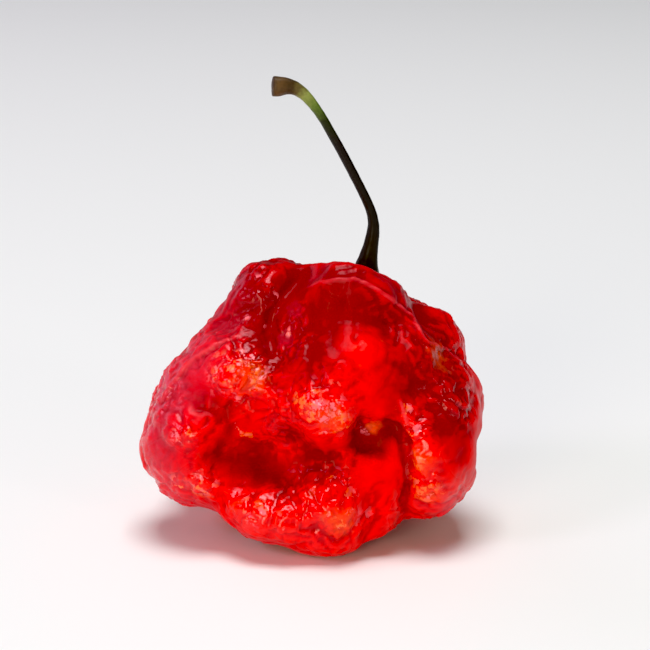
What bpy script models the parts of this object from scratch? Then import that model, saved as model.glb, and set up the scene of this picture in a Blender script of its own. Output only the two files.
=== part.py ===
# A moruga riba chili pepper as picked, standing on three low lobes of its pod.
# X runs to the right and Y away from the side that is usually seen, +Z is up, and the floor is Z = 0.
# Lengths in this file are millimetres, and the objects are made in metres.

import math

import bpy
import numpy as np
from mathutils import Vector, noise
from mathutils.bvhtree import BVHTree

MM = 0.001

# Colour and roughness of each piece.
POD_LOOK = ((0.72, 0.01, 0.01), 0.22)
STEM_LOOK = ((0.05, 0.045, 0.02), 0.55)


# The skin's grid: a cube with this many faces along an edge, blown up round the pod's heart.
GRID = 30
HEART = (0.0, 0.0, 17.0)

# The swollen lobes that make the pod: centre and half sizes. The blend is how far they melt together
# where they meet.
LOBES = {
    "heart": ((0, 1, 17), (14, 13, 13)),
    "crown left": ((-4.9, 2, 27.2), (7.1, 8, 9.2)),
    "crown middle": ((4.6, 0.2, 27), (8.9, 8.2, 10.6)),
    "crown right": ((9.8, 5.0, 23.2), (7.6, 8.5, 7.6)),
    "right knob": ((15.2, 3.5, 25), (5.0, 5.5, 4.8)),
    "right shoulder": ((15.2, 1, 19.3), (5.9, 8, 6.8)),
    "right cheek": ((15.1, -1.9, 13.6), (7.2, 10.8, 10.7)),
    "right side": ((11.5, 3, 14), (9.3, 9, 10.3)),
    "chin": ((6, -6, 10), (6.2, 6.6, 7)),
    "left neck": ((-9.4, 1, 24.5), (5.6, 7, 6.2)),
    "left cheek": ((-12.6, -1, 13.5), (10.0, 10.5, 9.9)),
    "left shoulder": ((-8.0, -0.5, 19.8), (10.6, 10, 8.6)),
    "front belly": ((3.0, -5.2, 19.6), (8.8, 9.2, 7.6)),
    "chest": ((4.6, -3.6, 23), (8.8, 9.0, 7.4)),
    "right breast": ((11.5, -1.2, 20.5), (8.0, 9.2, 9.2)),
    "front lip": ((-1.4, -7.3, 7), (11.4, 8, 6.2)),
    "front tip": ((2.5, -9.2, 5), (6.2, 5.7, 5.6)),
    "tip right": ((8, -6.5, 7.4), (5.2, 6, 5.8)),
    "back left": ((-9, 7.5, 11.7), (9.5, 9, 12)),
    "back right": ((8, 8, 11.6), (10, 9.5, 12)),
    "back middle": ((0, 10, 20), (8, 8.5, 9)),
    "back knob": ((8.6, 11.5, 23.6), (5.8, 5.5, 6.4)),
    "back shoulder": ((-7.5, 8.5, 20.5), (7, 7, 6.5)),
    "back cheek": ((1, 13, 10), (7, 6.5, 7)),
}
LOBE_BLEND = 2.2

# While the points spread out evenly, this share of any bump finer than the grid is eased away.
EASE = 0.03

# The sunken seat in the crown that holds the calyx: where it is, how high, how much of it is level, and
# its reach.
SEAT = (7.2, 5.4)
SEAT_LEVEL = 30.6
SEAT_FLAT = 2.5
SEAT_REACH = 8.5

# The three low points that the pod stands on, how far round each the skin gives, and how much is
# pressed flat.
FEET = [(2.5, -9.5), (9.5, 8.0), (-10.5, 7.0)]
FOOT_GIVE = 10.0
FOOT_FLAT = 0.35

# Where the strokes below are seen from: degrees round the pod from the front, and degrees above the
# floor. A place in a view is millimetres to the right of the heart and above the foot nearest the viewer.
# The viewer stands at a distance with the middle of the view at the aim.
VIEWS = {"front": (0, 15), "right": (90, 10), "back": (180, 12), "left": (-90, 10)}
FOOT_REACH = 13.0
VIEW_AIM = (1.8, 30.4)
VIEW_DISTANCE = 284.0

# The strokes follow the skin in steps, and the line is eased this many times.
WAY_STEP = 0.6
WAY_EASE = 4

# Folds pressed into the skin: view, width, depth, how far the sides are drawn together, and the way along.
FOLDS = {
    "crown cleft": ("front", 1.9, 2.2, 0.15, [
        (-0.2, 38.2), (-1.8, 36.7), (-3.6, 34.6), (-5.2, 32.2), (-5.6, 29.5), (-5.1, 26.8)
    ]),
    "left brow": ("front", 2.0, 2.0, 0.1, [(-13.6, 30.8), (-11.3, 30.9), (-8.9, 32.1), (-6.4, 33)]),
    "cheek valley": ("front", 2.4, 1.1, 0.0, [(-16, 20.6), (-12.5, 20), (-9.3, 20.3), (-6.5, 19.5)]),
    "under the rim": ("front", 2.3, 1.0, 0.0, [
        (-2.5, 30.9), (1, 31.9), (5, 32.1), (9, 30.9), (12, 28.5)
    ]),
    "mouth": ("front", 4.0, 2.6, 0.0, [
        (-13.5, 13), (-9.5, 12.4), (-5.5, 12), (-2.2, 12.2), (1.5, 12.8)
    ]),
    "mouth low": ("front", 2.2, 1.2, 0.0, [(-5.8, 12.4), (-4.4, 10.4), (-3.2, 8.4), (-2.6, 6.9)]),
    "mouth corner": ("front", 1.3, 1.8, 0.2, [(6.8, 19.2), (6.9, 17.3), (6.3, 15.3), (7.6, 13.8)]),
    "cheek fold": ("front", 1.0, 2.8, 0.35, [
        (8.6, 16.9), (10.2, 17), (11.2, 16.5), (11.6, 15.3), (12, 13.4), (12.5, 11.4), (12.6, 8.8),
        (12.3, 6.8), (12.4, 5.2)
    ]),
    "right hollow": ("front", 3.4, 1.3, 0.0, [
        (13, 23.5), (14.6, 21.6), (16, 19.5), (17.2, 17.3), (18.2, 15.3)
    ]),
    "behind the shoulder": ("front", 1.9, 0.7, 0.0, [
        (11.7, 34.3), (15.2, 30.6), (17.9, 27.6), (19.6, 26.2)
    ]),
    "under the knob": ("front", 1.1, 1.2, 0.2, [(19.9, 26.2), (18.5, 26.9), (16.9, 27.8)]),
    "tip folds": ("front", 1.1, 1.0, 0.1, [
        (-1.4, 1.6), (0.7, 3.8), (2, 2.8), (3.5, 2), (5.1, 2.9), (6.2, 4.5), (7.7, 6.2), (9.6, 8.5)
    ]),
    "beside the tip": ("front", 1.2, 1.2, 0.1, [(6.2, 0.7), (7.2, 2.5), (8, 3.8), (9, 5.5)]),
    "lip end": ("front", 2.4, 0.9, 0.0, [(-12.9, 5.9), (-11.3, 7.9), (-9.3, 9.8)]),
    "left side fold": ("left", 1.5, 2.0, 0.2, [(-3, 33), (-4.5, 28), (-2, 23), (-4, 18), (-3, 14)]),
    "left waist": ("left", 2.2, 1.5, 0.0, [(6, 14.5), (1, 13), (-5, 14.5), (-11, 13), (-15, 14)]),
    "left low fold": ("left", 1.4, 1.8, 0.2, [(-5, 12), (-6.5, 8), (-5, 4.5)]),
    "right side fold": ("right", 1.6, 2.2, 0.2, [(5, 30), (7.5, 25), (5.5, 19), (8, 13), (6.5, 7)]),
    "right low fold": ("right", 2.0, 1.4, 0.1, [(-6, 9.5), (0, 8), (6, 9.5)]),
    "back cleft": ("back", 1.8, 2.3, 0.25, [(1, 33), (-0.5, 29), (-2, 25), (0.5, 21), (-0.5, 16)]),
    "back left fold": ("back", 1.6, 2.2, 0.2, [(6, 31), (8, 26), (6.5, 20), (9, 14), (7.5, 8), (9, 4)]),
    "back right fold": ("back", 1.5, 2.2, 0.2, [
        (-6, 31), (-9.5, 27), (-8, 21), (-10.5, 15), (-8.5, 9), (-10, 4)
    ]),
    "back waist": ("back", 2.3, 1.6, 0.0, [
        (-15, 17), (-11, 15.5), (-6, 16.5), (0, 15), (5, 16.5), (12, 15)
    ]),
    "back low fold": ("back", 1.4, 1.8, 0.2, [(-2, 13), (-0.5, 9), (-2.5, 4.5)]),
}

# Ridges drawn up from the skin: view, width, height and the way along.
RIDGES = {
    "shoulder line": ("front", 0.9, 0.6, [
        (-1.4, 34.8), (0.9, 35.9), (6.2, 36.3), (8.4, 35.2), (10, 34.1), (11.7, 32.8), (13.4, 31.3),
        (14.5, 29.2), (15.3, 28.3), (17.6, 27.2), (19.6, 25.4), (21.2, 23.1)
    ]),
    "crown rim": ("front", 1.8, 0.5, [
        (-0.5, 35.3), (3, 36.2), (6.2, 36.3), (9, 34.8), (12, 32.4), (14.5, 29.4)
    ]),
    "left brow line": ("front", 1.2, 0.9, [
        (-20.3, 19.5), (-18.2, 22.8), (-15.3, 26.2), (-13.2, 27.4), (-10.9, 28.6), (-8.9, 29.1)
    ]),
    "lip rim": ("front", 1.3, 0.6, [
        (-16.9, 9.8), (-12.6, 9.2), (-10.3, 7.9), (-8.6, 5.5), (-6.4, 4.8), (-1.4, 3.5)
    ]),
    "cheek edge": ("front", 1.9, 1.1, [
        (11.7, 21), (12.3, 18.6), (12.8, 16.6), (13.5, 14.7), (14.3, 12.7), (14.8, 10.3), (15.6, 8.5)
    ]),
}

# Blisters: view, place, reach and height. A height below zero is a pit.
BLISTERS = {
    "left shoulder": ("front", (-8.8, 24), 5.6, 0.9),
    "left cheek": ("front", (-16.4, 16.4), 5.0, 0.9),
    "belly": ("front", (1.4, 19.0), 4.6, 0.9),
    "belly top": ("front", (8.4, 27.1), 5.0, 0.4),
    "lip middle": ("front", (2.5, 7.5), 5, 1.0),
    "lip left": ("front", (-11.8, 8.2), 4.6, 1.0),
    "chin": ("front", (9.7, 11.4), 4.2, 1.0),
    "pit nodule": ("front", (9.0, 18.9), 1.7, 0.7),
    "cheek nub": ("front", (-21.4, 15.6), 1.6, 0.8),
    "tip nodule": ("front", (3.9, 3.4), 1.5, 0.6),
    "mouth dent left": ("front", (-7.8, 12.6), 3.4, -0.7),
    "mouth dent high": ("front", (-2.7, 15.4), 2.6, -0.9),
    "corner pit": ("front", (7.0, 15.6), 3.8, -1.7),
    "knob hollow": ("front", (17.9, 25.5), 2.6, -1.0),
    "left high": ("left", (-8, 25), 4.5, 1.0),
    "left low": ("left", (-11, 9), 4.5, 1.0),
    "right high": ("right", (10, 22), 4.5, 1.0),
    "right low": ("right", (1, 15), 4.0, 0.9),
    "back high": ("back", (-3.5, 28), 4.0, 1.1),
    "back middle": ("back", (4, 22), 4.0, 1.0),
    "back low": ("back", (3.5, 10), 4.5, 1.1),
    "back side": ("back", (-14, 10), 4.5, 1.0),
}

# Puckers that cover the whole skin, as cells with creases between them: spacing and height. Their
# outlines wander. On the front, which the strokes already shape, this share of their height is kept.
PUCKERS = [(6.3, 0.9), (2.9, 0.5)]
PUCKER_SEED = 11
PUCKER_FRONT = 0.6
PUCKER_WANDER = 1.8

# The calyx: the gap over its seat, and for each ring its radius and its height over the seat, from the
# middle of the underside out to the rim and back over the top.
STEM_SIDES = 20
CALYX_GAP = 0.35
CALYX_UNDER = [1.4, 2.7, 3.7]
CALYX_OVER = [(4.4, 0.2), (4.3, 0.65), (3.6, 1.0), (2.9, 1.25), (2.3, 1.3)]
CALYX_POINTS = 5
CALYX_WAVE = 0.07

# The stalk from the calyx to its cut end: places and radius at each, joined by a smooth curve.
STALK = [
    ((7.3, 5.2, 34.4), 1.6),
    ((7.5, 5.1, 35.6), 1.3),
    ((7.85, 5.0, 37.4), 1.0),
    ((8.15, 4.8, 39.4), 0.84),
    ((8.1, 4.6, 41.0), 0.70),
    ((7.5, 4.4, 43.0), 0.62),
    ((5.83, 4.0, 46.5), 0.60),
    ((4.15, 3.7, 49.8), 0.60),
    ((2.83, 3.5, 52.2), 0.59),
    ((1.5, 3.2, 54.6), 0.58),
    ((-0.12, 3.0, 56.9), 0.68),
    ((-1.5, 2.8, 58.2), 0.84),
    ((-2.9, 2.6, 58.75), 1.05),
    ((-4.1, 2.4, 58.75), 1.30),
    ((-4.85, 2.3, 58.8), 1.28),
]
STALK_STEPS = 3
RIBS = 5
RIB_HEIGHT = 0.05
ROOT_RISE = 0.5
ROOT_RADIUS = 2.0
CUT_BULGE = 0.15
ABOVE_ALL = 70.0


def grid_sphere(faces_along_edge):
    """Directions and quads of a cube's grid, spread evenly over a sphere."""
    last = faces_along_edge
    number = {}
    quads = []
    for axis, side in [(0, 0), (0, last), (1, 0), (1, last), (2, 0), (2, last)]:
        for i in range(last):
            for j in range(last):
                corners = [(i, j), (i + 1, j), (i + 1, j + 1), (i, j + 1)]
                places = [(*corner[:axis], side, *corner[axis:]) for corner in corners]
                if (side == 0) != (axis == 1):
                    places.reverse()
                quads.append([number.setdefault(place, len(number)) for place in places])
    spread = np.tan((np.array(list(number)) * 2 / last - 1) * math.pi / 4)
    return spread / np.linalg.norm(spread, axis=1)[:, None], np.array(quads)


def blown_up(directions):
    """Each direction taken from the heart out to the furthest lobe, blended where two lobes meet."""
    reach = np.zeros(len(directions))
    for centre, half in LOBES.values():
        scaled = directions / half
        start = (np.array(HEART) - centre) / half
        a = (scaled**2).sum(1)
        b = (scaled * start).sum(1)
        c = (start**2).sum() - 1
        root = b * b - a * c
        out = np.where(root > 0, (np.sqrt(np.maximum(root, 0)) - b) / a, 0)
        gap = np.abs(reach - out)
        round_off = np.maximum(LOBE_BLEND - gap, 0) ** 2 / (4 * LOBE_BLEND)
        reach = np.maximum(reach, out) + round_off
    return np.array(HEART) + directions * reach[:, None]


class Skin:
    """The pod's surface while it is being shaped: its points, and strokes that push them."""

    def __init__(self, points, quads):
        self.points = points
        self.quads = quads
        sides = np.vstack([quads[:, [0, 1]], quads[:, [1, 2]], quads[:, [2, 3]], quads[:, [3, 0]]])
        self.sides = np.unique(np.sort(sides, axis=1), axis=0)
        self.neighbours = np.bincount(self.sides.ravel(), minlength=len(points))[:, None]

    def relax(self, times):
        """The points spread out evenly along the skin."""
        for _ in range(times):
            total = np.zeros_like(self.points)
            np.add.at(total, self.sides[:, 0], self.points[self.sides[:, 1]])
            np.add.at(total, self.sides[:, 1], self.points[self.sides[:, 0]])
            move = total / self.neighbours - self.points
            normals = self.normals()
            upright = normals * (normals * move).sum(1)[:, None]
            self.points = self.points + 0.5 * (move - upright) + EASE * upright

    def normals(self):
        corners = self.points[self.quads]
        faces = np.cross(corners[:, 2] - corners[:, 0], corners[:, 3] - corners[:, 1])
        total = np.zeros_like(self.points)
        for corner in range(4):
            np.add.at(total, self.quads[:, corner], faces)
        return total / np.linalg.norm(total, axis=1)[:, None]

    def tree(self):
        return BVHTree.FromPolygons(self.points.tolist(), self.quads.tolist())

    def seen(self, tree, view, places):
        """The points of the skin that a viewer sees at these places of a view."""
        turn, rise = (math.radians(angle) for angle in VIEWS[view])
        ahead = Vector((math.sin(turn), -math.cos(turn), 0))
        to_viewer = ahead * math.cos(rise) + Vector((0, 0, math.sin(rise)))
        right = Vector((math.cos(turn), math.sin(turn), 0))
        up = to_viewer.cross(right)
        corner = ahead * FOOT_REACH
        corner += to_viewer * (Vector(HEART) - corner).dot(to_viewer)
        eye = corner + right * VIEW_AIM[0] + up * VIEW_AIM[1] + to_viewer * VIEW_DISTANCE
        found = []
        for across, above in places:
            place = corner + right * across + up * above
            hit = tree.ray_cast(eye, place - eye)[0] or tree.find_nearest(place)[0]
            found.append(tuple(hit))
        return np.array(found)

    def along(self, view, way):
        """Points of the skin, close together, along a way given by a few places."""
        places = []
        for (x0, y0), (x1, y1) in zip(way, way[1:]):
            steps = max(1, round(math.hypot(x1 - x0, y1 - y0) / WAY_STEP))
            places += [(x0 + (x1 - x0) * k / steps, y0 + (y1 - y0) * k / steps) for k in range(steps)]
        line = self.seen(self.tree(), view, places + [way[-1]])
        for _ in range(WAY_EASE):
            line[1:-1] = (line[:-2] + 2 * line[1:-1] + line[2:]) / 4
        return line

    def beside(self, line):
        """Each point's distance to the line, the nearest place on the line, and 0 to 1 along it."""
        apart = np.linalg.norm(self.points[:, None] - line[None], axis=2)
        nearest = apart.argmin(1)
        return apart.min(1), line[nearest], nearest / (len(line) - 1)

    def fold(self, view, width, depth, draw, way):
        distance, nearest, share = self.beside(self.along(view, way))
        fade = np.sqrt(np.clip(np.minimum(share, 1 - share) * 6 + 0.15, 0, 1))
        press = depth * np.exp(-((distance / width) ** 1.3)) * fade
        pull = draw * np.exp(-((distance / (2.4 * width)) ** 2)) * fade
        drawn = (nearest - self.points) * pull[:, None]
        self.points = self.points - self.normals() * press[:, None] + drawn

    def ridge(self, view, width, height, way):
        distance, _, share = self.beside(self.along(view, way))
        fade = np.clip(np.minimum(share, 1 - share) * 6 + 0.1, 0, 1)
        lift = height * np.exp(-((distance / width) ** 1.3)) * fade
        self.points = self.points + self.normals() * lift[:, None]

    def blister(self, view, place, reach, height):
        middle = self.seen(self.tree(), view, [place])[0]
        distance = np.linalg.norm(self.points - middle, axis=1)
        lift = height * np.maximum(1 - (distance / reach) ** 2, 0) ** 2
        self.points = self.points + self.normals() * lift[:, None]

    def pucker(self, spacing, height, seed):
        """Cells of about this spacing rise, and creases stay between them."""
        draw = np.random.default_rng(seed)
        noise.seed_set(seed)
        middles = []
        for point in self.points[draw.permutation(len(self.points))]:
            room = spacing * draw.uniform(0.75, 1.25)
            if all(np.linalg.norm(point - other) > room for other in middles):
                middles.append(point)
        bent = self.points + PUCKER_WANDER * np.array(
            [noise.noise_vector(Vector(p) / spacing) for p in self.points]
        )
        apart = np.sort(np.linalg.norm(bent[:, None] - np.array(middles)[None], axis=2), axis=1)
        rise = np.clip((apart[:, 1] - apart[:, 0]) / (0.55 * spacing), 0, 1)
        normals = self.normals()
        front = np.clip(-2 * normals[:, 1], 0, 1)
        share = np.clip(self.from_seat() / SEAT_REACH, 0, 1) * (1 - (1 - PUCKER_FRONT) * front)
        lift = height * (np.sqrt(rise * (2 - rise)) - 0.6) * share
        self.points = self.points + normals * lift[:, None]

    def from_seat(self):
        """Distance from the seat's axis, and far away for the points that lie below the crown."""
        apart = np.hypot(self.points[:, 0] - SEAT[0], self.points[:, 1] - SEAT[1])
        return np.where(self.points[:, 2] > HEART[2], apart, 10 * SEAT_REACH)

    def sink_seat(self):
        share = np.clip((SEAT_REACH - self.from_seat()) / (SEAT_REACH - SEAT_FLAT), 0, 1)
        share = share**2 * (3 - 2 * share)
        self.points[:, 2] += share * (SEAT_LEVEL - self.points[:, 2])

    def stand(self):
        """The skin gives round each foot until all three reach the floor and are pressed flat."""
        low = self.points[:, 2] < HEART[2]
        for x, y in FEET:
            apart = np.hypot(self.points[:, 0] - x, self.points[:, 1] - y)
            near = low & (apart < FOOT_GIVE / 2)
            drop = -FOOT_FLAT - self.points[near, 2].min()
            give = np.maximum(1 - (apart / FOOT_GIVE) ** 2, 0) ** 2 * low
            give = give * np.clip(1 - self.points[:, 2] / HEART[2], 0, 1)
            self.points = self.points + np.outer(drop * give, (0, 0, 1))
        self.points[:, 2] = np.maximum(self.points[:, 2], 0)


def pod_skin():
    directions, quads = grid_sphere(GRID)
    skin = Skin(blown_up(directions), quads)
    skin.relax(24)
    for view, place, reach, height in BLISTERS.values():
        skin.blister(view, place, reach, height)
    skin.relax(6)
    for view, width, height, way in RIDGES.values():
        skin.ridge(view, width, height, way)
    for view, width, depth, draw, way in FOLDS.values():
        skin.fold(view, width, depth, draw, way)
        skin.relax(1)
    for number, (spacing, height) in enumerate(PUCKERS):
        skin.pucker(spacing, height, PUCKER_SEED + number)
    skin.relax(1)
    skin.sink_seat()
    skin.stand()
    return skin


def smooth_way(knots, steps):
    """Places and radii along a Catmull-Rom curve through the knots, steps to each stretch."""
    values = np.array([[*place, radius] for place, radius in knots])
    values = np.vstack([2 * values[0] - values[1], values, 2 * values[-1] - values[-2]])
    found = []
    for a, b, c, d in zip(values, values[1:], values[2:], values[3:]):
        for t in np.arange(steps) / steps:
            bend, twist = 2 * a - 5 * b + 4 * c - d, 3 * b - a - 3 * c + d
            found.append(0.5 * (2 * b + (c - a) * t + bend * t**2 + twist * t**3))
    found.append(values[-2])
    return np.array(found)[:, :3], np.array(found)[:, 3]


def calyx_rings(tree, angles):
    """Rings of the calyx over its seat: out along the underside, round the wavy rim and back on top."""
    wave = 1 + CALYX_WAVE * np.cos(CALYX_POINTS * angles)
    around = np.stack([-np.cos(angles), -np.sin(angles), np.zeros_like(angles)], axis=1)
    rings = []
    for radius, height in [(radius, 0) for radius in CALYX_UNDER] + CALYX_OVER:
        rim_share = radius / CALYX_OVER[0][0]
        ring = np.array([*SEAT, 0]) + around * radius * (1 + (wave - 1) * rim_share**3)[:, None]
        ring[:, 2] = [seat_height(tree, place) + CALYX_GAP + height for place in ring]
        rings.append(ring)
    return rings


def seat_height(tree, place):
    return tree.ray_cast(Vector((place[0], place[1], ABOVE_ALL)), Vector((0, 0, -1)))[0].z


def stalk_rings(root, angles):
    """Rings along the stalk with its faint ribs, from its root in the calyx to the cut end."""
    rib = 1 + RIB_HEIGHT * np.cos(RIBS * angles)
    places, radii = smooth_way([root, *STALK], STALK_STEPS)
    ahead = np.gradient(places, axis=0)
    ahead /= np.linalg.norm(ahead, axis=1)[:, None]
    rings = []
    for place, forward, radius in zip(places, ahead, radii):
        side = np.cross(forward, (0, 1, 0))
        side /= np.linalg.norm(side)
        turned = np.outer(np.cos(angles), side) + np.outer(np.sin(angles), np.cross(forward, side))
        rings.append(place + turned * (radius * rib)[:, None])
    return rings, places[-1] + ahead[-1] * CUT_BULGE


def stem_mesh(tree):
    angles = 2 * math.pi * np.arange(STEM_SIDES) / STEM_SIDES
    calyx = calyx_rings(tree, angles)
    root = ((*SEAT, calyx[-1][:, 2].mean() + ROOT_RISE), ROOT_RADIUS)
    stalk, end = stalk_rings(root, angles)
    rings = calyx + stalk
    under = (*SEAT, seat_height(tree, SEAT) + CALYX_GAP)
    points = np.vstack([*rings, [under], [end]])
    faces = []
    last = (len(rings) - 1) * STEM_SIDES
    for side in range(STEM_SIDES):
        beside = (side + 1) % STEM_SIDES
        for low in range(0, last, STEM_SIDES):
            high = low + STEM_SIDES
            faces.append((low + side, low + beside, high + beside, high + side))
        faces.append((beside, side, len(points) - 2))
        faces.append((last + side, last + beside, len(points) - 1))
    return points, faces


def add_object(name, points, faces, look):
    colour, roughness = look
    mesh = bpy.data.meshes.new(name)
    mesh.from_pydata((points * MM).tolist(), [], [tuple(face) for face in faces])
    mesh.shade_smooth()
    material = bpy.data.materials.new(name)
    material.use_nodes = True
    shader = material.node_tree.nodes["Principled BSDF"]
    shader.inputs["Base Color"].default_value = (*colour, 1)
    shader.inputs["Roughness"].default_value = roughness
    mesh.materials.append(material)
    made = bpy.data.objects.new(name, mesh)
    bpy.context.scene.collection.objects.link(made)


def main():
    for obj in list(bpy.data.objects):
        bpy.data.objects.remove(obj)
    skin = pod_skin()
    stem_points, stem_faces = stem_mesh(skin.tree())
    everything = np.vstack([skin.points, stem_points])
    middle = (everything.min(0) + everything.max(0)) / 2 * (1, 1, 0)
    add_object("pod", skin.points - middle, skin.quads.tolist(), POD_LOOK)
    add_object("stem", stem_points - middle, stem_faces, STEM_LOOK)


main()
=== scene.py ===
# A moruga riba chili pepper as picked, standing on a pale table.
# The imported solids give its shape. The fine wrinkles, the skin and the colours are made here.

import math

import bpy
import numpy as np
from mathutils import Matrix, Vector, noise
from mathutils.bvhtree import BVHTree
from mathutils.kdtree import KDTree


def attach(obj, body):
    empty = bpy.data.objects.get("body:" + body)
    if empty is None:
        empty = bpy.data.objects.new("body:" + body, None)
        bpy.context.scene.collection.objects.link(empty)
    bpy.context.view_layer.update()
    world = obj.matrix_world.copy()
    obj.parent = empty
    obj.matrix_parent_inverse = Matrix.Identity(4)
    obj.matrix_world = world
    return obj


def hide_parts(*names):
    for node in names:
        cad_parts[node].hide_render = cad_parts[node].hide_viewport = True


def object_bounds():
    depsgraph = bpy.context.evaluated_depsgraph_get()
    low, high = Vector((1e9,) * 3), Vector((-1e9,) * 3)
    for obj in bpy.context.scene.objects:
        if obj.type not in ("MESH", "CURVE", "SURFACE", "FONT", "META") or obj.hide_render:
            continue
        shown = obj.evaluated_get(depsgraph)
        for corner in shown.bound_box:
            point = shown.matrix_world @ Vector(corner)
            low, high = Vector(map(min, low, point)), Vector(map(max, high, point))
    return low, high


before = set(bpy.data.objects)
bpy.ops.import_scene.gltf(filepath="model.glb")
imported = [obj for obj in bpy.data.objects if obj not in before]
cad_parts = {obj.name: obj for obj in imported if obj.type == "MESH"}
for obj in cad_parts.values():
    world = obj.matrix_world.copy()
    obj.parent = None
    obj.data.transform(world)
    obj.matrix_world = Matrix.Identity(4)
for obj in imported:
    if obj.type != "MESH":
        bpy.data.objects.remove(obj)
boxBefore = [list(corner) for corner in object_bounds()]
mm = 0.001
print("solids loaded:", ", ".join(sorted(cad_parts)))

# The camera comes first, because the wrinkles of the front are placed by what it sees.
cameraSettings = {
    "elevation": 15.0,                       # degrees above the table
    "lens": 120.0,
    "distance": 283.8 * mm,
    "aim": (1.83 * mm, 0.84 * mm, 27.25 * mm),
    "aimPlace": (1.83, 30.39),               # the aim as seenPlace counts: mm to the right and mm up
    "sensor": 36,
    "nearest": 0.01,                         # clip start in metres
}


def viewAxes(azimuth, elevation):
    turn, rise = math.radians(azimuth), math.radians(elevation)
    toViewer = Vector((math.sin(turn) * math.cos(rise), -math.cos(turn) * math.cos(rise), math.sin(rise)))
    right = Vector((math.cos(turn), math.sin(turn), 0))
    return toViewer, right, toViewer.cross(right)


def addCamera(settings):
    toViewer = viewAxes(0, settings["elevation"])[0]
    place = Vector(settings["aim"]) + toViewer * settings["distance"]
    bpy.ops.object.camera_add(location=place, rotation=(-toViewer).to_track_quat("-Z", "Y").to_euler())
    camera = bpy.context.object
    camera.data.lens = settings["lens"]
    camera.data.sensor_width = settings["sensor"]
    camera.data.clip_start = settings["nearest"]
    bpy.context.scene.camera = camera


addCamera(cameraSettings)


def deselectAll():
    for obj in list(bpy.context.selected_objects):
        obj.select_set(False)


copySettings = {
    "merge": 0.002 * mm,
    "quadAngle": math.radians(80),           # triangles that meet flatter than this become quads
    "inset": 0.005,                          # mm that the finished skin stays inside the CAD box
}


def copyOfNode(nodeName, pieceName, levels):
    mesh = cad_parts[nodeName].data.copy()
    mesh.materials.clear()
    piece = bpy.data.objects.new(pieceName, mesh)
    bpy.context.scene.collection.objects.link(piece)
    deselectAll()
    piece.select_set(True)
    bpy.context.view_layer.objects.active = piece
    bpy.ops.object.mode_set(mode="EDIT")
    bpy.ops.mesh.select_all(action="SELECT")
    bpy.ops.mesh.remove_doubles(threshold=copySettings["merge"])
    angle = copySettings["quadAngle"]
    bpy.ops.mesh.tris_convert_to_quads(face_threshold=angle, shape_threshold=angle)
    bpy.ops.object.mode_set(mode="OBJECT")
    finer = piece.modifiers.new("finer", "SUBSURF")
    finer.levels = finer.render_levels = levels
    bpy.ops.object.modifier_apply(modifier="finer")
    bpy.ops.object.shade_smooth()
    return piece


# A fine mesh is shaped with its points in mm, pushed along their normals.

def readSkin(piece):
    mesh = piece.data
    points = np.empty(len(mesh.vertices) * 3)
    mesh.vertices.foreach_get("co", points)
    edges = np.empty(len(mesh.edges) * 2, int)
    mesh.edges.foreach_get("vertices", edges)
    skin = {"mesh": mesh, "points": points.reshape(-1, 3) / mm, "edges": edges.reshape(-1, 2)}
    skin["beside"] = np.bincount(edges, minlength=len(mesh.vertices))[:, None]
    refresh(skin)
    skin["shape"] = skin["points"].copy()
    return skin


def refresh(skin):
    skin["mesh"].vertices.foreach_set("co", (skin["points"] * mm).ravel())
    skin["mesh"].update()
    normals = np.empty(len(skin["points"]) * 3)
    skin["mesh"].vertex_normals.foreach_get("vector", normals)
    skin["normals"] = normals.reshape(-1, 3)


def lift(skin, heights):
    skin["points"] = skin["points"] + skin["normals"] * heights[:, None]
    refresh(skin)


def keepInBox(skin):
    low, high = (np.array(corner) / mm for corner in boxBefore)
    skin["points"] = np.clip(skin["points"], low + copySettings["inset"], high - copySettings["inset"])
    refresh(skin)


def eased(skin, values, times, share=0.6):
    # Each value moves this share of the way to the mean of its neighbours, again and again.
    a, b = skin["edges"].T
    for _ in range(times):
        total = np.stack([
            np.bincount(a, values[b, k], len(values)) + np.bincount(b, values[a, k], len(values))
            for k in range(values.shape[1])
        ], axis=1)
        values = (1 - share) * values + share * total / skin["beside"]
    return values


def hollowness(skin, times):
    # How far each point lies below its surroundings, in mm: hollows above zero, bumps below.
    return ((eased(skin, skin["points"], times) - skin["points"]) * skin["normals"]).sum(1)


def keepAttribute(skin, name, values):
    layer = skin["mesh"].attributes.new(name, "FLOAT", "POINT")
    layer.data.foreach_set("value", values.astype(np.float32))


# How far apart in the noise two seeds lie.
noiseSteps = (17.3, 5.1, 9.7)
cellSteps = (3.7, 11.9, 7.3)


def noiseOver(skin, size, seed):
    offset = Vector([seed * step for step in noiseSteps])
    return np.array([noise.noise(Vector(p) / size + offset) for p in skin["shape"]])


facetSettings = {
    "swayRate": 0.8,                         # how fine the sway is against the cells
    "swayStep": 31.7,                        # how far apart its three directions lie in the noise
    "crease": 3.5,                           # how narrow the creases are
}


def facetsOver(skin, size, wander, tilt, seed):
    # Leathery cells with narrow creases between them, each leaning its own way.
    offset = Vector([seed * step for step in cellSteps])
    tops, leans = [], []
    for p in skin["shape"]:
        place = Vector(p) / size + offset
        wide = place * facetSettings["swayRate"]
        apart = facetSettings["swayStep"]
        sway = Vector([noise.noise(wide + Vector((k * apart, 0, 0))) for k in range(3)])
        place = place + wander * sway
        near, middles = noise.voronoi(place)
        tops.append(near[1] - near[0])
        leans.append((noise.cell_vector(middles[0] * 3) * 2 - Vector((1, 1, 1))).dot(place - middles[0]))
    share = np.clip(np.array(tops) * facetSettings["crease"], 0, 1)
    share = share * (2 - share)
    return share, tilt * size * np.array(leans) * share


def skinTree(skin):
    mesh = skin["mesh"]
    return BVHTree.FromPolygons(skin["points"].tolist(), [tuple(face.vertices) for face in mesh.polygons])


def pointTree(skin):
    tree = KDTree(len(skin["points"]))
    for index, p in enumerate(skin["points"]):
        tree.insert(p, index)
    tree.balance()
    return tree


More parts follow.
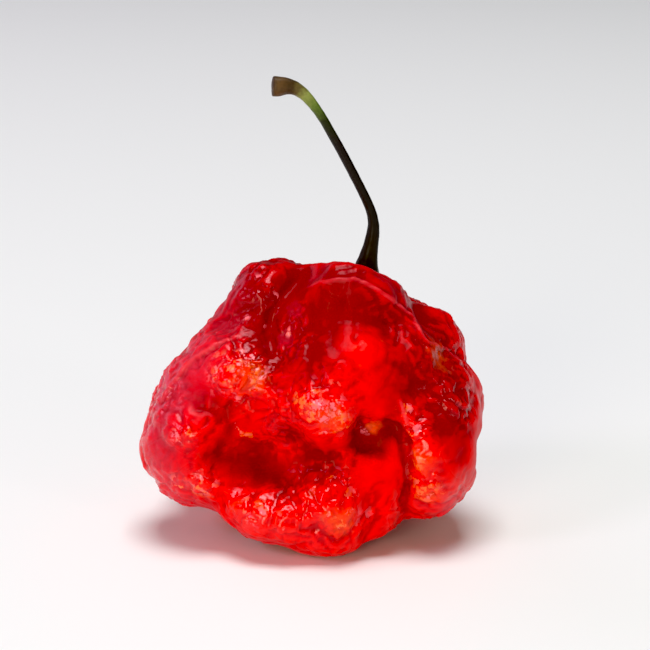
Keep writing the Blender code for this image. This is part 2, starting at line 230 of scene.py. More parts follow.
strokeSettings = {
    "reach": 2.4,                            # how far a stroke is felt, in its widths
    "ends": (5, 0.1),                        # how fast a stroke fades in, and where from
    "rimDepth": -0.2,                        # only a ridge higher than this gets a painted highlight along it
    "rimWidth": 0.6,                         # the painted highlight's width in widths of its ridge
    "deepest": -0.55,                        # mm, for all strokes together
    "highest": 0.45,
    "step": 0.25,                            # mm between the points of a line
    "waver": 0.1,                            # how much a creeping line turns at each step
}


def pressLines(skin, strokes, strength):
    # Each stroke is a line on the skin with a width and a depth. A depth below zero raises a ridge.
    # Seeded strokes fade where the skin is calm.
    tree = pointTree(skin)
    heights = np.zeros(len(skin["points"]))
    rims = np.zeros(len(skin["points"]))
    for line, width, depth, placed in strokes:
        distance, along = {}, {}
        for number, place in enumerate(line):
            for _, index, apart in tree.find_range(place, width * strokeSettings["reach"]):
                if apart < distance.get(index, 99):
                    distance[index] = apart
                    along[index] = number / max(1, len(line) - 1)
        if not distance:
            continue
        indices = np.array(list(distance))
        apart, share = np.array(list(distance.values())), np.array(list(along.values()))
        rise, start = strokeSettings["ends"]
        fade = np.clip(np.minimum(share, 1 - share) * rise + start, 0, 1)
        fade = fade if placed else fade * strength[indices]
        heights[indices] -= depth * np.exp(-((apart / width) ** 2)) * fade
        # A high ridge also gets a painted highlight along its crest.
        if depth < strokeSettings["rimDepth"]:
            rim = np.exp(-((apart / (strokeSettings["rimWidth"] * width)) ** 2)) * fade
            rims[indices] = np.maximum(rims[indices], rim)
    lift(skin, np.clip(heights, strokeSettings["deepest"], strokeSettings["highest"]))
    return rims


def seenPlace(tree, place):
    # The place is given as the camera sees it: mm right of the heart and mm above the nearest foot.
    toViewer, right, up = viewAxes(0, cameraSettings["elevation"])
    aim = Vector(cameraSettings["aim"]) / mm
    eye = aim + toViewer * (cameraSettings["distance"] / mm)
    across, above = place[0] - cameraSettings["aimPlace"][0], place[1] - cameraSettings["aimPlace"][1]
    return tree.ray_cast(eye, (aim + right * across + up * above) - eye)[0]


def seenLine(tree, way):
    line = []
    for (x0, y0), (x1, y1) in zip(way, way[1:]):
        steps = max(1, round(math.hypot(x1 - x0, y1 - y0) / strokeSettings["step"]))
        line += [seenPlace(tree, (x0 + (x1 - x0) * k / steps, y0 + (y1 - y0) * k / steps))
                 for k in range(steps + 1)]
    return [place for place in line if place is not None]


def crawl(tree, place, ahead, length, bend, draw):
    # A line that creeps over the skin from a place and wanders as it goes.
    place, normal = tree.find_nearest(place)[:2]
    step = strokeSettings["step"]
    line = []
    for _ in range(int(length / step)):
        ahead = (ahead - normal * ahead.dot(normal)).normalized()
        turn = draw.normal(0, strokeSettings["waver"])
        ahead = (ahead + normal.cross(ahead) * (bend + turn)).normalized()
        line.append(place.copy())
        place, normal = tree.find_nearest(place + ahead * step)[:2]
    return line


def wanderLines(tree, settings):
    # Seeded wrinkles all round, starting anywhere and running mostly up and down.
    draw = np.random.default_rng(settings["seed"])
    strokes = []
    for _ in range(settings["wrinkles"]):
        outward = Vector(draw.normal(size=3)).normalized()
        place = tree.find_nearest(Vector(settings["heart"]) + outward * settings["far"])[0]
        ahead = Vector((*draw.normal(0, settings["wrinkleLean"], 2), 1))
        length = draw.uniform(*settings["wrinkleLength"])
        line = crawl(tree, place, ahead, length, draw.normal(0, settings["wrinkleBend"]), draw)
        width = draw.uniform(*settings["wrinkleWidth"])
        depth = draw.uniform(*settings["wrinkleDepth"])
        strokes.append((line, width, depth, False))
    return strokes


bandSettings = {
    "scatter": 22,                           # degrees
    "lengths": (0.6, 1.5),                   # shares of the band's length
    "depths": (0.5, 1.3),                    # shares of the band's depth
    "signs": [1, 1, -0.8],                   # two grooves for each ridge
    "widths": (0.22, 0.4),                   # mm
    "bend": 0.08,
}


def bandLines(tree, bands, seed):
    # Bands of short wrinkles along a way, scattered about it and turned from it.
    draw = np.random.default_rng(seed)
    _, right, up = viewAxes(0, cameraSettings["elevation"])
    strokes = []
    for way, count, spread, length, turn, depth in bands:
        for _ in range(count):
            k = draw.integers(0, len(way) - 1)
            share = draw.uniform()
            along = np.array(way[k + 1]) - np.array(way[k])
            place = np.array(way[k]) + along * share + draw.normal(0, spread, 2)
            turned = turn + draw.normal(0, bandSettings["scatter"])
            angle = math.atan2(along[1], along[0]) + math.radians(turned)
            start = seenPlace(tree, place)
            if start is None:
                continue
            ahead = right * math.cos(angle) + up * math.sin(angle)
            reach = length * draw.uniform(*bandSettings["lengths"])
            line = crawl(tree, start, ahead, reach, draw.normal(0, bandSettings["bend"]), draw)
            height = depth * draw.uniform(*bandSettings["depths"]) * draw.choice(bandSettings["signs"])
            strokes.append((line, draw.uniform(*bandSettings["widths"]), height, True))
    return strokes


def zoneOver(skin, tree, zones):
    # The sum of soft round zones, each given by what the camera sees: place, reach and amount.
    total = np.zeros(len(skin["shape"]))
    for place, reach, amount in zones:
        middle = seenPlace(tree, place)
        if middle is not None:
            apart = np.linalg.norm(skin["shape"] - np.array(middle), axis=1)
            total += amount * np.exp(-((apart / reach) ** 2))
    return total


# The pod's skin
podSettings = {
    "levels": 2,
    "lumps": (3.1, 0.18, 0.14),    # size in mm, height in mm and slope
    "leather": (1.4, 0.06, 0.24),
    "grain": (0.7, 0.02),
    "facetLevel": 0.7,             # the share of a facet's height that stays level with the solid
    "wander": {"lumps": 0.7, "leather": 0.5},    # how far the cells are pulled out of shape
    "calm": 7.0,                   # mm from smooth to crinkled stretches of skin
    "crinkle": (0.34, 0.8),        # the mean and the swing
    "crinkleRange": (0.08, 1.5),
    "lineStrength": (1.6, 0.35),   # how much the seeded wrinkles follow the crinkle, and their least share
    "crown": (21.0, 31.0),         # the skin darkens to crimson between these heights in mm, partly its own tone and partly painted shade of the upward-facing crown
    "toneAndShade": 0.3,                   # how deep the red is in general
    # painted shade towards the crown
    "crownShade": 0.45,
    "hollowShade": (0.4, 90, 1.2),  # painted shade in the hollows: amount, rounds of easing, and the hollow in mm that counts in full
    # painted shade in the fine creases: amount, rounds of easing, and the hollow in mm that counts in full
    "creaseShade": (0.16, 7, 0.04),
    "highlightFleck": (0.75, 0.05, 0.8),    # painted highlight flecks: shares of the zones and the crinkle, and the most
    "heart": (0, 0, 17),           # wrinkles start where lines out of here meet the skin
    "far": 30,
    "wrinkles": 260,
    "wrinkleLength": (2.5, 8.0),
    "wrinkleWidth": (0.25, 0.42),
    "wrinkleDepth": (0.05, 0.2),
    "wrinkleLean": 0.6,            # how far they lean from upright
    "wrinkleBend": 0.1,
    "seed": 5,
}

# Crinkled and glossy stretches of the front above zero, calm ones below it: place, reach and amount.
crinkleZones = [
    ((-10.3, 24.0), 3.8, 1.0), ((1.2, 19.5), 4.2, 1.0), ((-16.8, 16.0), 1.8, 0.8), ((-8.0, 18.2), 3.0, -0.4),
    ((-14.5, 9.2), 2.6, 0.9), ((-7.5, 6.7), 3.2, 0.9), ((-2.0, 5.5), 3.0, 0.6), ((13.6, 16.6), 2.0, 1.0),
    ((14.9, 10.1), 3.0, 1.0), ((3.5, 9.8), 2.0, 0.8), ((3.8, 4.2), 4.5, 0.7), ((-6.9, 36.0), 2.6, 0.4),
    ((-4.7, 33.8), 1.8, 0.3), ((-8.4, 31.4), 1.6, 0.2), ((-6.2, 29.0), 2.6, -0.4), ((-5.2, 11.2), 2.4, -0.3),
    ((8.6, 14.0), 1.6, -0.6), ((-2.6, 29.7), 1.6, 0.3), ((17.5, 26.5), 3.4, 0.6),
    ((19.5, 19.6), 2.0, 0.8), ((7.4, 17.2), 1.6, 0.7), ((7.5, 29.0), 5.5, -0.8), ((8.0, 23.0), 4.0, -0.5),
    ((17.5, 18.0), 3.5, -0.4), ((-13.0, 19.6), 2.6, -0.6), ((-7.5, 13.0), 4.0, -0.4),
    ((-18.5, 12.5), 3.0, -0.3), ((5.5, 12.5), 3.0, -0.4),
]

# Pale flecks of the front, pink to orange, partly the skin's own and partly painted highlights where the
# gloss gathers: place, reach and amount.
highlightFleckZones = [
    ((-10.8, 24.2), 2.6, 1.0), ((-8.0, 24.6), 2.4, 0.9), ((-1.2, 20.8), 1.8, 0.8), ((1.4, 19.4), 2.4, 1.0),
    ((3.0, 17.6), 1.8, 0.8), ((-17.0, 16.0), 1.4, 0.9), ((-9.0, 16.4), 1.6, 0.5), ((-9.6, 20.2), 1.2, 0.5),
    ((-14.6, 9.4), 1.8, 0.7), ((-17.4, 9.6), 1.4, 0.5), ((-9.4, 7.8), 1.5, 0.7), ((-7.0, 5.8), 1.8, 0.7),
    ((-3.8, 4.4), 1.6, 0.6), ((12.3, 19.4), 1.1, 0.9), ((13.0, 16.6), 1.2, 0.9), ((13.6, 12.6), 1.6, 0.9),
    ((15.0, 9.2), 2.0, 0.9), ((3.2, 10.2), 1.4, 0.5), ((4.6, 4.2), 3.0, 0.6), ((7.6, 27.6), 1.2, 0.4),
    ((7.3, 17.0), 1.0, 0.8), ((19.3, 20.0), 1.3, 0.5), ((-6.9, 36.3), 0.8, 0.8), ((-4.7, 34.0), 0.8, 0.8),
    ((-8.4, 31.4), 0.7, 0.7), ((-6.4, 30.5), 0.7, 0.6), ((-0.5, 31.7), 0.7, 0.8), ((-2.6, 29.7), 0.9, 0.9),
]

# A painted rosy reflection at the left and along the crown: place, reach and amount.
rosyReflectionZones = [
    ((-15.5, 26.0), 4.6, 1.0), ((-19.5, 20.0), 4.0, 1.0), ((-20.5, 13.0), 4.0, 1.0), ((-18.5, 8.0), 3.4, 0.9),
    ((-9.5, 35.0), 4.0, 0.25), ((-11.0, 30.0), 3.0, 0.4), ((6.0, 36.5), 3.5, 0.15), ((12.0, 33.0), 3.0, 0.25),
    ((18.0, 6.5), 2.6, 0.6), ((-2.0, 32.5), 1.5, 0.5), ((-3.4, 28.5), 1.5, 0.5),
]

# Painted shade as deeper crimson above zero and painted light as brighter scarlet below it, partly the skin's
# own uneven tone: place, reach and amount.
shadeAndLightZones = [
    ((-9.0, 13.4), 2.6, 0.1), ((-3.1, 16.3), 2.2, 0.4), ((0.8, 13.0), 2.2, 0.35), ((-3.7, 9.0), 2.2, 0.4),
    ((6.5, 15.5), 2.4, 0.5), ((10.2, 16.4), 1.6, 0.6), ((18.9, 22.5), 4.5, 0.5), ((16.9, 17.3), 3.0, 0.5),
    ((19.8, 15.3), 3.0, 0.3), ((13.2, 24.0), 2.8, 0.35), ((16.5, 28.0), 4.5, 0.15),
    ((-18.5, 21.2), 4.2, 0.35), ((-12.6, 19.5), 3.0, 0.3), ((-19.5, 14.7), 3.5, 0.25),
    ((-12.6, 13.6), 2.8, 0.3), ((-6.2, 28.0), 2.6, 0.3),
    ((-1.8, 36.3), 1.6, 0.35), ((-4.2, 33.0), 1.6, 0.4), ((-5.3, 29.8), 1.6, 0.35), ((-7.0, 33.2), 1.6, 0.2),
    ((-8.0, 35.0), 4.0, 0.25), ((4.0, 35.5), 4.0, 0.25), ((8.6, 14.2), 1.5, 0.3), ((0.5, 26.3), 3.0, 0.45),
    ((-5.0, 25.0), 2.2, 0.3), ((-10.6, 24.6), 3.0, -0.4), ((7.1, 27.2), 3.8, -0.4),
    ((1.5, 19.5), 3.5, -0.15), ((15.0, 12.0), 3.5, -0.2),
]

# Crisp lines of the front: width and depth in mm, and the way. A depth below zero is a ridge.
frontLines = [
    (0.75, 0.50, [(0.1, 37.9), (-1.8, 36.3), (-3.6, 34.2), (-5.0, 31.6), (-5.3, 28.6), (-5.0, 25.5)]),
    (0.3, -0.34, [(-1.4, 34.8), (0.9, 35.9), (3.5, 36.3), (6.2, 36.3), (8.4, 35.2), (10, 34.1), (11.7, 32.8),
                   (13.4, 31.3), (14.5, 29.2), (15.3, 28.3), (17.6, 27.2), (19.6, 25.4), (21.2, 23.1)]),
    (0.35, -0.28, [(-20.3, 19.5), (-18.2, 22.8), (-15.3, 26.2), (-13.2, 27.4), (-10.9, 28.6), (-8.9, 29.1)]),
    (0.35, 0.25, [(-13.4, 30.6), (-11.3, 31), (-8.9, 32.2), (-6.6, 33)]),
    (0.4, 0.45, [(11.0, 16.6), (11.6, 15.3), (12, 13.4), (12.5, 11.4), (12.6, 8.8), (12.3, 6.8),
                 (12.4, 5.2)]),
    (0.3, 0.28, [(-1.4, 1.6), (0.7, 3.8), (2, 2.8), (3.5, 2), (5.1, 2.9), (6.2, 4.5), (7.7, 6.2),
                 (9.6, 8.5)]),
    (0.3, 0.25, [(6.2, 0.7), (7.2, 2.5), (8, 3.8), (9, 5.5)]),
    (0.35, -0.25, [(11.5, 20.8), (12.2, 18.8), (12.7, 17.3)]),
    (0.3, -0.2, [(17.3, 23.2), (18.6, 21.6), (19.8, 19.6)]),
]

# Bands of short wrinkles: the way, how many, spread in mm, length, turn in degrees from the way, depth.
frontBands = [
    ([(1, 35.5), (9, 34.5), (14.5, 29), (20.5, 24)], 46, 1.3, 4.0, 5, 0.16),
    ([(15.5, 28), (19, 25.5), (20.5, 22)], 26, 1.2, 2.5, 60, 0.18),
    ([(-3.5, 34.5), (-4.8, 30), (-4.4, 25)], 30, 1.6, 3.0, 20, 0.13),
    ([(-19, 20), (-15.5, 26), (-11, 30)], 34, 1.5, 4.5, 8, 0.14),
    ([(-13, 24.5), (-6.5, 24)], 30, 1.5, 2.0, 40, 0.16),
    ([(-2, 21.5), (4.5, 18)], 34, 1.4, 1.8, 50, 0.16),
    ([(12, 20.5), (13.6, 14), (15.4, 9)], 36, 0.9, 1.8, 70, 0.16),
    ([(-17, 9.8), (-12.6, 9.2), (-8.6, 5.5), (-1.4, 3.5)], 52, 0.9, 1.7, 60, 0.15),
    ([(-2, 1), (4, 2), (8, 4), (10, 7)], 46, 1.2, 2.2, 45, 0.14),
    ([(-19, 15), (-14, 16.5), (-9, 19)], 24, 1.2, 2.0, 30, 0.12),
    ([(1, 12), (5, 13), (8, 16)], 20, 1.2, 2.0, 30, 0.12),
]

# Where the front ripens towards orange: place, reach and amount.
orangeZones = [
    ((8.2, 17.2), 1.3, 0.7), ((4.0, 4.2), 2.6, 0.6), ((14, 12.5), 2.6, 0.5), ((15.5, 8), 2.0, 0.5),
    ((-7.8, 23.5), 3.0, 0.5), ((2.8, 18), 2.6, 0.5), ((16.5, 26.2), 3.2, 0.5), ((9.5, 28.3), 2.0, 0.35),
    ((0, 8.5), 2.2, 0.3), ((-10, 6.8), 2.0, 0.3),
]


def makePod(settings):
    piece = copyOfNode("pod", "podSkin", settings["levels"])
    skin = readSkin(piece)
    print("pod copied:", len(skin["points"]), "points")
    tree = skinTree(skin)
    strokes = wanderLines(tree, settings) + bandLines(tree, frontBands, settings["seed"] + 1)
    strokes += [(seenLine(tree, way), width, depth, True) for width, depth, way in frontLines]
    mean, swing = settings["crinkle"]
    crinkle = mean + swing * noiseOver(skin, settings["calm"], 1) + zoneOver(skin, tree, crinkleZones)
    crinkle = np.clip(crinkle, *settings["crinkleRange"])
    for seed, name in enumerate(("lumps", "leather"), 2):
        size, height, slope = settings[name]
        tops, leans = facetsOver(skin, size, settings["wander"][name], slope, seed)
        lift(skin, crinkle * (height * (tops - settings["facetLevel"]) + leans))
    size, height = settings["grain"]
    lift(skin, height * crinkle * noiseOver(skin, size, 4))
    follow, least = settings["lineStrength"]
    keepAttribute(skin, "rim", pressLines(skin, strokes, np.clip(crinkle * follow, least, 1)))
    # The red deepens partly by its own tone and partly by painted shade: towards the crown, in the hollows
    # and creases, and in the listed zones, which paint light where below zero.
    low, high = settings["crown"]
    upward = np.clip((skin["shape"][:, 2] - low) / (high - low), 0, 1)
    toneAndShade = settings["toneAndShade"] + settings["crownShade"] * upward + zoneOver(skin, tree, shadeAndLightZones)
    for amount, times, most in (settings["hollowShade"], settings["creaseShade"]):
        toneAndShade += amount * np.clip(hollowness(skin, times) / most, -1, 1)
    keepAttribute(skin, "toneAndShade", np.clip(toneAndShade, 0, 1))
    keepAttribute(skin, "crinkle", np.clip(crinkle, 0, 1))
    # Painted highlights as pale flecks, gathered in the listed zones and on crinkled skin.
    zones, everywhere, most = settings["highlightFleck"]
    highlightFlecks = zones * zoneOver(skin, tree, highlightFleckZones) + everywhere * crinkle
    keepAttribute(skin, "highlightFleck", np.clip(highlightFlecks, 0, most))
    # painted rosy reflection
    keepAttribute(skin, "rosyReflection", np.clip(zoneOver(skin, tree, rosyReflectionZones), 0, 1))
    keepAttribute(skin, "ripe", np.clip(zoneOver(skin, tree, orangeZones), 0, 1))
    keepInBox(skin)
    print("pod wrinkled with", len(strokes), "lines")
    return piece


def newMaterial(name):
    material = bpy.data.materials.new(name)
    material.use_nodes = True
    return material, material.node_tree, material.node_tree.nodes["Principled BSDF"]


def setInputs(tree, node, inputs):
    # An input takes a number, a colour or the output of another node.
    for name, value in inputs.items():
        if isinstance(value, bpy.types.NodeSocket):
            tree.links.new(value, node.inputs[name])
        else:
            node.inputs[name].default_value = value


def addNode(tree, kind, inputs, **options):
    node = tree.nodes.new(kind)
    for name, option in options.items():
        setattr(node, name, option)
    setInputs(tree, node, inputs)
    return node


def addMath(tree, operation, *values):
    return addNode(tree, "ShaderNodeMath", dict(enumerate(values)), operation=operation).outputs[0]


def addRange(tree, value, inputs):
    return addNode(tree, "ShaderNodeMapRange", {"Value": value, **inputs}).outputs["Result"]


def addMix(tree, share, below, above):
    # Covers one colour with another by a share.
    above = (*above, 1) if isinstance(above, tuple) else above
    inputs = {"Factor": share, 6: below, 7: above}
    return addNode(tree, "ShaderNodeMix", inputs, data_type="RGBA").outputs[2]


def addRamp(tree, share, stops):
    ramp = addNode(tree, "ShaderNodeValToRGB", {"Fac": share})
    while len(ramp.color_ramp.elements) < len(stops):
        ramp.color_ramp.elements.new(0.5)
    for element, (position, colour) in zip(ramp.color_ramp.elements, stops):
        element.position = position
        element.color = (*colour, 1)
    return ramp.outputs["Color"]


def addAttributes(tree, names):
    return [addNode(tree, "ShaderNodeAttribute", {}, attribute_name=name).outputs["Fac"] for name in names]


skinLook = {
    # The red ramp runs from bright scarlet to the darkest crimson; its darker stops carry the painted shade
    # of the hollows and the crown.
    "bump": (0.85, 0.006, 0.002),
    "red": (0.72, 0.001, 0.0015),
    "crown": (0.42, 0.001, 0.003),
    "hollow": (0.27, 0.001, 0.0015),
    "redStops": [(0.22, "bump"), (0.5, "red"), (0.85, "crown"), (1.0, "hollow")],
    "patchSize": 5 * mm,
    "patchShare": 0.45,
    "orange": (0.92, 0.09, 0.008),
    "orangeRange": (0.1, 0.5),
    "speckleSize": 0.9 * mm,
    # a painted rosy reflection, in streaks
    "rosy": (0.56, 0.035, 0.065),
    "rosyShare": 1.2,
    # a painted pale highlight along the high ridges
    "rim": (0.70, 0.08, 0.10),
    "rimShare": 0.6,
    # painted highlights as pale flecks, partly the skin's own flecks
    "pinkHighlightFleck": (0.95, 0.18, 0.23),
    "orangeHighlightFleck": (0.95, 0.17, 0.04),
    "tintStops": [(0.34, "pinkHighlightFleck"), (0.48, "orangeHighlightFleck")],
    "tintByDepth": -0.3,           # the painted highlight flecks are pinker where the red is deep or in painted shade
    "highlightFleckShare": 0.8,
    "highlightFleckSize": 1.2 * mm,
    "highlightFleckSway": 2.2 * mm,         # how far the flecks' cells are pulled out of shape
    "highlightFleckSoftness": 0.25,
    "highlightFleckEdge": (0.02, 0.16),
    "roughness": (0.38, 0.16),     # calm and crinkled skin
    "specular": (0.08, 0.5),
    "specularTint": (1, 0.55, 0.62, 1),
    "subsurface": 0.1,
    "subsurfaceRadius": (1.0, 0.1, 0.05),
    "subsurfaceScale": 1.2 * mm,
    "sheen": 0.12,                 # a waxy film, seen at the edges
    "sheenRoughness": 0.4,
    "sheenTint": (1, 0.30, 0.42, 1),
    "grainSize": 0.55 * mm,
    "grainHeight": 0.04 * mm,
    "grainStrength": 0.6,
}


def podMaterial(look):
    material, tree, shader = newMaterial("pepperSkin")
    place = tree.nodes.new("ShaderNodeTexCoord").outputs["Object"]
    names = ("toneAndShade", "crinkle", "ripe", "rim", "highlightFleck", "rosyReflection")
    toneAndShade, crinkle, ripe, rim, highlightFleck, rosyReflection = addAttributes(tree, names)

    # red darkened by painted shade towards the crown and in the hollows and creases, shaded or lit by painted
    # zones, and uneven in patches of its own tone
    patches = addNode(tree, "ShaderNodeTexNoise", {
        "Vector": place, "Scale": 1 / look["patchSize"], "Detail": 3.0, "Roughness": 0.55}).outputs["Fac"]
    depth = addMath(tree, "MULTIPLY_ADD", patches, look["patchShare"], toneAndShade)
    coat = addRamp(tree, depth, [(position, look[name]) for position, name in look["redStops"]])

    # orange where it is still ripening, broken up by fine speckle
    speckle = addNode(tree, "ShaderNodeTexNoise", {
        "Vector": place, "Scale": 1 / look["speckleSize"], "Detail": 3.0, "Roughness": 0.6}).outputs
    low, high = look["orangeRange"]
    broken = addMath(tree, "MULTIPLY", ripe, speckle["Fac"])
    coat = addMix(tree, addRange(tree, broken, {"From Min": low, "From Max": high}), coat, look["orange"])

    # a streaky painted rosy reflection, and a painted pale highlight along the high ridges
    streaks = addMath(tree, "MULTIPLY", speckle["Fac"], look["rosyShare"])
    coat = addMix(tree, addMath(tree, "MULTIPLY", rosyReflection, streaks), coat, look["rosy"])
    coat = addMix(tree, addMath(tree, "MULTIPLY", rim, look["rimShare"]), coat, look["rim"])

    # painted highlight flecks, pink or orange by turns: cells pulled out of shape, of which more are shown as
    # the zone grows
    tintPlace = addMath(tree, "MULTIPLY_ADD", toneAndShade, look["tintByDepth"], patches)
    tint = addRamp(tree, tintPlace, [(position, look[name]) for position, name in look["tintStops"]])
    sway = addNode(tree, "ShaderNodeVectorMath", {
        0: speckle["Color"], 1: (look["highlightFleckSway"],) * 3, 2: place}, operation="MULTIPLY_ADD").outputs[0]
    chips, edges = (
        addNode(tree, "ShaderNodeTexVoronoi", {"Vector": sway, "Scale": 1 / look["highlightFleckSize"]}, feature=kind)
        for kind in ("F1", "DISTANCE_TO_EDGE"))
    own = addNode(tree, "ShaderNodeSeparateColor", {"Color": chips.outputs["Color"]}).outputs[0]
    picked = addMath(tree, "SUBTRACT", highlightFleck, own)
    shown = addRange(tree, picked, {"From Max": look["highlightFleckSoftness"]})
    low, high = look["highlightFleckEdge"]
    inside = addRange(tree, edges.outputs["Distance"], {"From Min": low, "From Max": high})
    highlightChip = addMath(tree, "MULTIPLY", shown, inside)
    coat = addMix(tree, addMath(tree, "MULTIPLY", highlightChip, look["highlightFleckShare"]), coat, tint)

    # leathery grain finer than the mesh
    grain = addNode(tree, "ShaderNodeTexVoronoi", {
        "Vector": place, "Scale": 1 / look["grainSize"], "Smoothness": 0.4}, feature="SMOOTH_F1")
    height = addMath(tree, "MULTIPLY_ADD", speckle["Fac"], 0.5, grain.outputs["Distance"])
    bump = addNode(tree, "ShaderNodeBump", {
        "Height": height, "Strength": look["grainStrength"], "Distance": look["grainHeight"]})

    # crinkled skin and the painted highlight flecks are glossier than calm skin
    glossy = addMath(tree, "MAXIMUM", crinkle, highlightChip)
    rough, shine = (
        addRange(tree, glossy, {"To Min": look[name][0], "To Max": look[name][1]})
        for name in ("roughness", "specular"))
    setInputs(tree, shader, {
        "Base Color": coat, "Normal": bump.outputs["Normal"],
        "Roughness": rough, "Specular IOR Level": shine, "Specular Tint": look["specularTint"],
        "Subsurface Weight": look["subsurface"], "Subsurface Radius": look["subsurfaceRadius"],
        "Subsurface Scale": look["subsurfaceScale"], "Sheen Weight": look["sheen"],
        "Sheen Roughness": look["sheenRoughness"], "Sheen Tint": look["sheenTint"],
    })
    return material


pod = makePod(podSettings)
pod.data.materials.append(podMaterial(skinLook))
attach(pod, "root")
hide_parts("pod")
print("pod finished")


# The stem with its calyx
stemSettings = {
    "levels": 2,
    # the middle of the stalk from its root to its cut end, in mm, as x and z
    "way": [(7.3, 34.4), (8.15, 39.4), (7.5, 43.0), (1.5, 54.6), (-1.5, 58.2), (-4.85, 58.8)],
    "calyxTop": 37.0,
    "calyxEdge": (2.0, 1.2),       # the radius in mm where it starts, and how far it fades in
    "veins": (10, 0.10),           # how many, and height in mm
    "veinShape": (6, 0.4),         # how narrow they are, and how far the skin between them sinks
    "wrinkle": (0.8, 0.05),        # size and height in mm
    "wrinkleShare": (0.6, 0.9),    # on the stalk, and how much is added on the calyx
    "colours": [                   # from the root to the cut end
        (0.0, (0.020, 0.014, 0.006)), (0.20, (0.010, 0.007, 0.004)), (0.60, (0.011, 0.007, 0.006)),
        (0.71, (0.018, 0.022, 0.006)), (0.79, (0.10, 0.15, 0.025)), (0.85, (0.24, 0.27, 0.07)),
        (0.89, (0.11, 0.08, 0.025)), (0.92, (0.05, 0.028, 0.010)), (0.97, (0.11, 0.058, 0.022)),
        (1.0, (0.05, 0.028, 0.012)),
    ],
    "calyxColour": (0.06, 0.085, 0.018),
    "fibreSize": 0.5 * mm,
    "fibreHeight": 0.08 * mm,
    "fibreShift": 0.06,            # how far the fibres shift the colours along the stalk
    "roughness": 0.5,
    "specular": 0.28,
}


def alongWay(skin, way):
    # The share of the way's length at which each point lies nearest to it, seen from the front.
    points = skin["shape"][:, [0, 2]]
    best, share, done = np.full(len(points), 99.0), np.zeros(len(points)), 0.0
    for start, end in zip(np.array(way), np.array(way)[1:]):
        ahead = end - start
        length = np.linalg.norm(ahead)
        along = np.clip((points - start) @ ahead / length**2, 0, 1)
        apart = np.linalg.norm(points - start - along[:, None] * ahead, axis=1)
        share = np.where(apart < best, done + along * length, share)
        best = np.minimum(best, apart)
        done += length
    return share / done


def makeStem(settings):
    piece = copyOfNode("stem", "stemSkin", settings["levels"])
    skin = readSkin(piece)
    low = skin["shape"][skin["shape"][:, 2] < settings["calyxTop"]]
    apart = skin["shape"][:, :2] - (low.max(0) + low.min(0))[:2] / 2
    radius, angle = np.linalg.norm(apart, axis=1), np.arctan2(apart[:, 1], apart[:, 0])
    start, fade = settings["calyxEdge"]
    calyx = np.clip((radius - start) / fade, 0, 1)
    calyx = calyx * np.clip(settings["calyxTop"] - skin["shape"][:, 2], 0, 1)
    count, height = settings["veins"]
    narrow, sink = settings["veinShape"]
    lift(skin, calyx * height * (np.abs(np.cos(angle * count / 2)) ** narrow - sink))
    size, height = settings["wrinkle"]
    stalkShare, calyxShare = settings["wrinkleShare"]
    lift(skin, height * noiseOver(skin, size, 6) * (stalkShare + calyxShare * calyx))
    keepAttribute(skin, "along", alongWay(skin, settings["way"]))
    keepAttribute(skin, "calyx", calyx)
    keepInBox(skin)
    return piece


def stemMaterial(settings):
    material, tree, shader = newMaterial("stalkSkin")
    place = tree.nodes.new("ShaderNodeTexCoord").outputs["Object"]
    along, calyx = addAttributes(tree, ("along", "calyx"))
    fibres = addNode(tree, "ShaderNodeTexNoise", {
        "Vector": place, "Scale": 1 / settings["fibreSize"], "Detail": 3.0}).outputs["Fac"]
    uneven = addMath(tree, "MULTIPLY_ADD", fibres, settings["fibreShift"], along)
    shifted = addMath(tree, "SUBTRACT", uneven, settings["fibreShift"] / 2)
    stalk = addRamp(tree, shifted, settings["colours"])
    bump = addNode(tree, "ShaderNodeBump", {
        "Height": fibres, "Strength": 0.6, "Distance": settings["fibreHeight"]})
    setInputs(tree, shader, {
        "Base Color": addMix(tree, calyx, stalk, settings["calyxColour"]), "Normal": bump.outputs["Normal"],
        "Roughness": settings["roughness"], "Specular IOR Level": settings["specular"],
    })
    return material


stem = makeStem(stemSettings)
stem.data.materials.append(stemMaterial(stemSettings))
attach(stem, "root")
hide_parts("stem")
print("stem made")


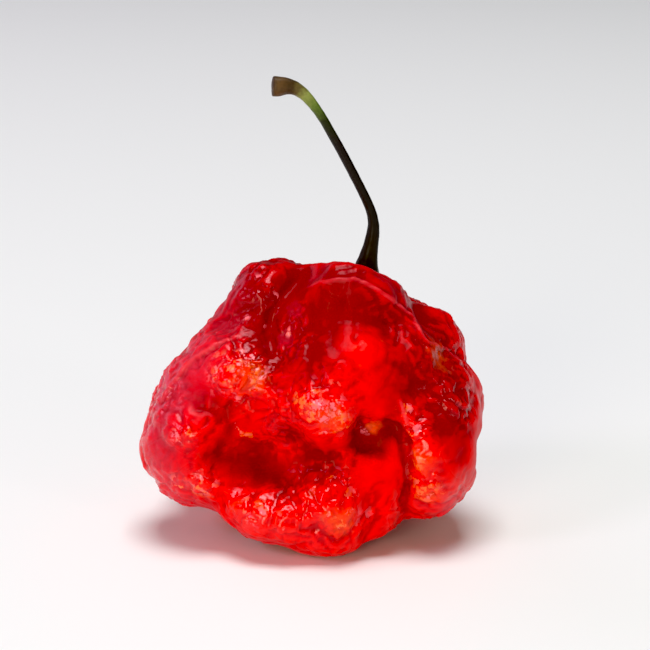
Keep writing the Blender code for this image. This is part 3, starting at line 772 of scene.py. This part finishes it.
# Table and light
tableSettings = {
    "radius": 4.0,
    "sides": 96,
    "colour": (0.9, 0.9, 0.9, 1),
    "roughness": 0.6,
}


def addTable(settings):
    deselectAll()
    bpy.ops.mesh.primitive_circle_add(
        vertices=settings["sides"], radius=settings["radius"], fill_type="NGON", location=(0, 0, 0))
    table = bpy.context.object
    table.name = "table"
    material, tree, shader = newMaterial("paleTable")
    setInputs(tree, shader, {"Roughness": settings["roughness"], "Base Color": settings["colour"]})
    table.data.materials.append(material)


addTable(tableSettings)

lightSettings = {
    "sky": 0.13,
    "blackLevel": 0.018,           # deepens the darkest tones
    "aimHeight": 20 * mm,
    "lamps": [
        # name, azimuth and elevation it shines from, distance, size, power, colour
        ("overhead", 0, 84, 1.6, 0.75, 21.5, (0.965, 1, 0.99)),
        ("key", -20, 10, 0.9, 0.32, 3.7, (1, 0.92, 0.66)),
        ("leftHigh", -58, 32, 0.9, 0.24, 1.4, (0.95, 0.78, 1)),
        ("right", 40, 14, 0.9, 0.15, 0.7, (1, 0.93, 0.86)),
        ("leftSide", -130, 20, 1.1, 0.75, 1.7, (0.88, 0.68, 1)),
    ],
}


def addLights(settings):
    world = bpy.data.worlds.new("studio")
    world.use_nodes = True
    background = world.node_tree.nodes["Background"]
    setInputs(world.node_tree, background, {"Color": (1, 1, 1, 1), "Strength": settings["sky"]})
    bpy.context.scene.world = world
    for name, azimuth, elevation, distance, size, power, colour in settings["lamps"]:
        toLamp = viewAxes(azimuth, elevation)[0]
        place = Vector((0, 0, settings["aimHeight"])) + toLamp * distance
        turn = (-toLamp).to_track_quat("-Z", "Y").to_euler()
        bpy.ops.object.light_add(type="AREA", location=place, rotation=turn)
        lamp = bpy.context.object
        lamp.name = name
        lamp.data.size = size
        lamp.data.energy = power
        lamp.data.color = colour
    view = bpy.context.scene.view_settings
    view.view_transform = "Standard"
    view.use_curve_mapping = True
    view.curve_mapping.black_level = (settings["blackLevel"],) * 3
    view.curve_mapping.update()


addLights(lightSettings)
print("table and light made")
